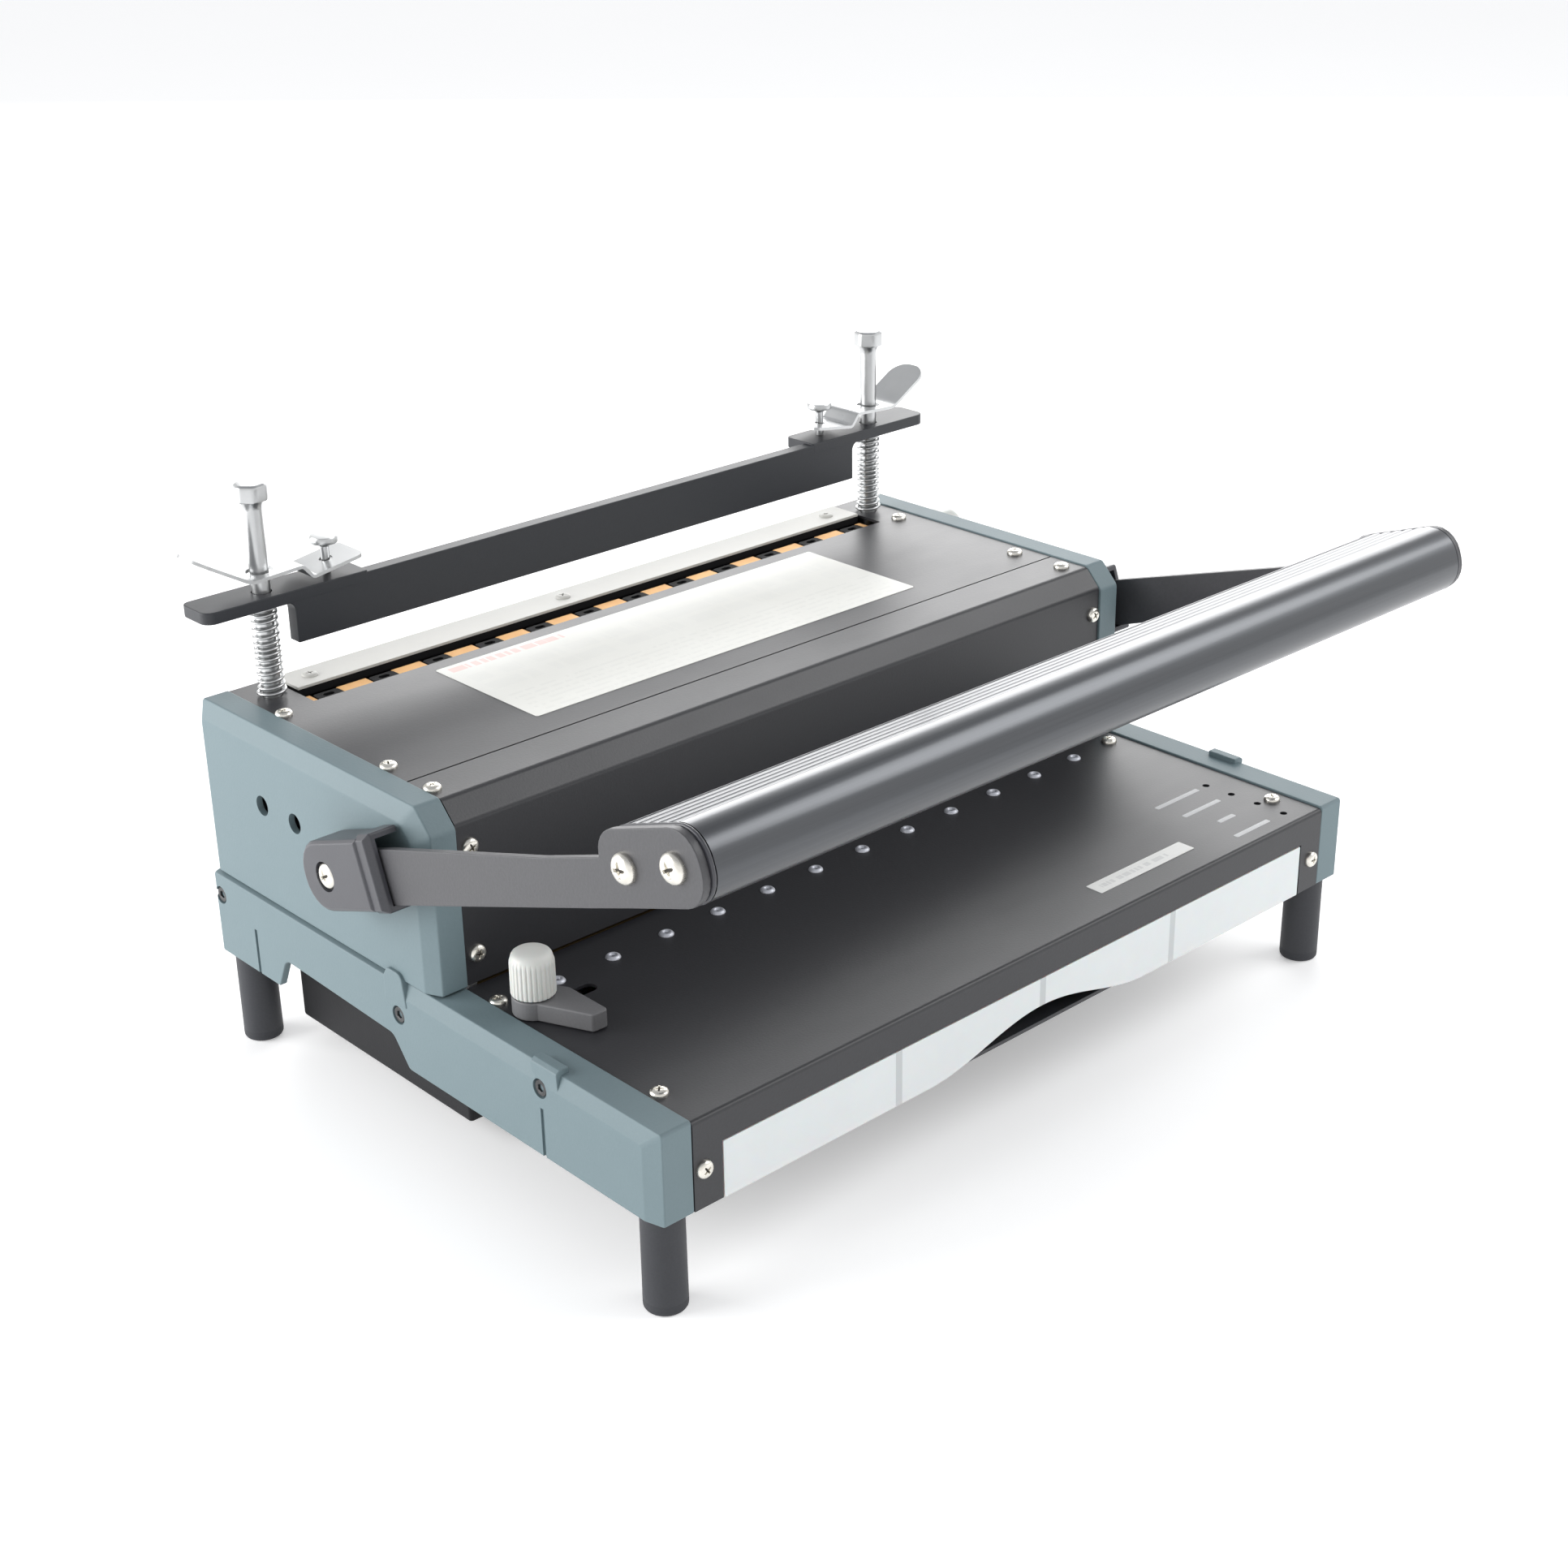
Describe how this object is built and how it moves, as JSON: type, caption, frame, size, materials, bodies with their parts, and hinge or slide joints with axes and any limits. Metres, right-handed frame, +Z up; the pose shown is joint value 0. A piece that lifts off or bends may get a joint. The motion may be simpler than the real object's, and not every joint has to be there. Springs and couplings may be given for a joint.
{
  "type": "strip binding machine",
  "caption": "Hand-lever punch-and-bind machine on tall feet, with a wide handle, paper table, chip drawer and a spring-borne pressing bar.",
  "frame": {"origin": "centre of the outline on the surface that the feet stand on", "axes": "+X to the operator's right, +Y away from the operator, +Z up"},
  "size_m": [0.3994, 0.3104, 0.2295],
  "materials": {
    "casing_plastic": "fine-textured moulded plastic",
    "cover_paint": "satin black powder coat",
    "arm_paint": "matt dark powder coat",
    "handle_metal": "dark anodised extrusion, semi-gloss",
    "cap_plastic": "satin moulded plastic",
    "zinc": "bright zinc plate",
    "bare_steel": "ground steel",
    "yellow_zinc": "yellow passivated zinc plate",
    "strip_paint": "pale satin coat",
    "foot_rubber": "matt black",
    "drawer_plastic": "milky translucent moulding",
    "knob_plastic": "off-white satin",
    "guide_plastic": "grey satin"
  },
  "bodies": {
    "base": {"base_pan": "cover_paint", "foot_front_left": "foot_rubber", "foot_front_right": "foot_rubber", "foot_rear_left": "foot_rubber", "foot_rear_right": "foot_rubber", "cutter_housing": "cover_paint", "left_chassis_plate": "bare_steel", "right_chassis_plate": "bare_steel", "front_tie_bar": "bare_steel", "rear_tie_bar": "bare_steel", "lower_casing_left": "casing_plastic", "lower_casing_right": "casing_plastic", "upper_casing_left": "casing_plastic", "upper_casing_right": "casing_plastic", "table_cover": "cover_paint", "top_cover": "cover_paint", "rear_cover": "cover_paint", "rear_strip": "strip_paint", "anvil_bar": "yellow_zinc", "die_block": "yellow_zinc", "punch_guide": "bare_steel", "return_spring_left": "bare_steel", "return_spring_right": "bare_steel", "shaft_bush_left": "yellow_zinc", "shaft_bush_right": "yellow_zinc", "post_left": "zinc", "post_right": "zinc", "press_spring_left": "zinc", "press_spring_right": "zinc"},
    "lever": {"drive_shaft": "bare_steel", "eccentric_left": "bare_steel", "eccentric_right": "bare_steel", "handle_arm_left": "arm_paint", "handle_arm_right": "arm_paint", "handle_tube": "handle_metal", "handle_end_cap_left": "cap_plastic", "handle_end_cap_right": "cap_plastic", "handle_screw_left_rear": "zinc", "handle_screw_left_front": "zinc", "handle_screw_right_rear": "zinc", "handle_screw_right_front": "zinc", "hub_screw_left": "zinc", "hub_screw_right": "zinc", "hub_cap_left": "cap_plastic", "hub_cap_right": "cap_plastic"},
    "punch": {"punch_bar": "bare_steel"},
    "press": {"press_bar": "cover_paint", "latch_pin_left": "zinc", "latch_pin_right": "zinc"},
    "latch_left": {"latch_plate_left": "zinc"},
    "latch_right": {"latch_plate_right": "zinc"},
    "guide": {"side_guide": "guide_plastic", "guide_bolt": "bare_steel"},
    "guide_clamp": {"guide_knob": "knob_plastic"},
    "drawer": {"waste_drawer": "drawer_plastic"},
    "selector": {"selector_knob": "knob_plastic"}
  },
  "joints": [
    {"name": "lever_hinge", "type": "hinge", "parent": "base", "child": "lever", "pos_m": [0, 0.0467, 0.114], "axis": [-1, 0, 0], "range_deg": [-25, 70]},
    {"name": "punch_slide", "type": "slide", "parent": "base", "child": "punch", "axis": [0, 0, 1], "range_m": [-0.0045, 0.0125], "deforming": ["return_spring_left", "return_spring_right"]},
    {"name": "press_slide", "type": "slide", "parent": "base", "child": "press", "axis": [0, 0, 1], "range_m": [-0.016, 0.025], "deforming": ["press_spring_left", "press_spring_right"]},
    {"name": "latch_left_tilt", "type": "hinge", "parent": "press", "child": "latch_left", "pos_m": [-0.13, 0.1392, 0.1917], "axis": [0, 1, 0], "range_deg": [-8, 3], "stiffness_Nm_per_rad": 0.5},
    {"name": "latch_right_tilt", "type": "hinge", "parent": "press", "child": "latch_right", "pos_m": [0.13, 0.1392, 0.1917], "axis": [0, -1, 0], "range_deg": [-8, 3], "stiffness_Nm_per_rad": 0.5},
    {"name": "guide_slide", "type": "slide", "parent": "base", "child": "guide", "axis": [1, 0, 0], "range_m": [0, 0.024]},
    {"name": "guide_knob_turn", "type": "hinge", "parent": "guide", "child": "guide_clamp", "pos_m": [-0.1615, -0.0213, 0.088], "axis": [0, 0, 1], "range_deg": [-180, 180]},
    {"name": "drawer_slide", "type": "slide", "parent": "base", "child": "drawer", "axis": [0, -1, 0], "range_m": [0, 0.11]},
    {"name": "selector_turn", "type": "hinge", "parent": "base", "child": "selector", "pos_m": [0.192, 0.1227, 0.125], "axis": [1, 0, 0], "range_deg": [-120, 120]}
  ],
  "couplings": [
    {"joint": "punch_slide", "follows": "lever_hinge", "m_per_rad": 0.00889}
  ]
}
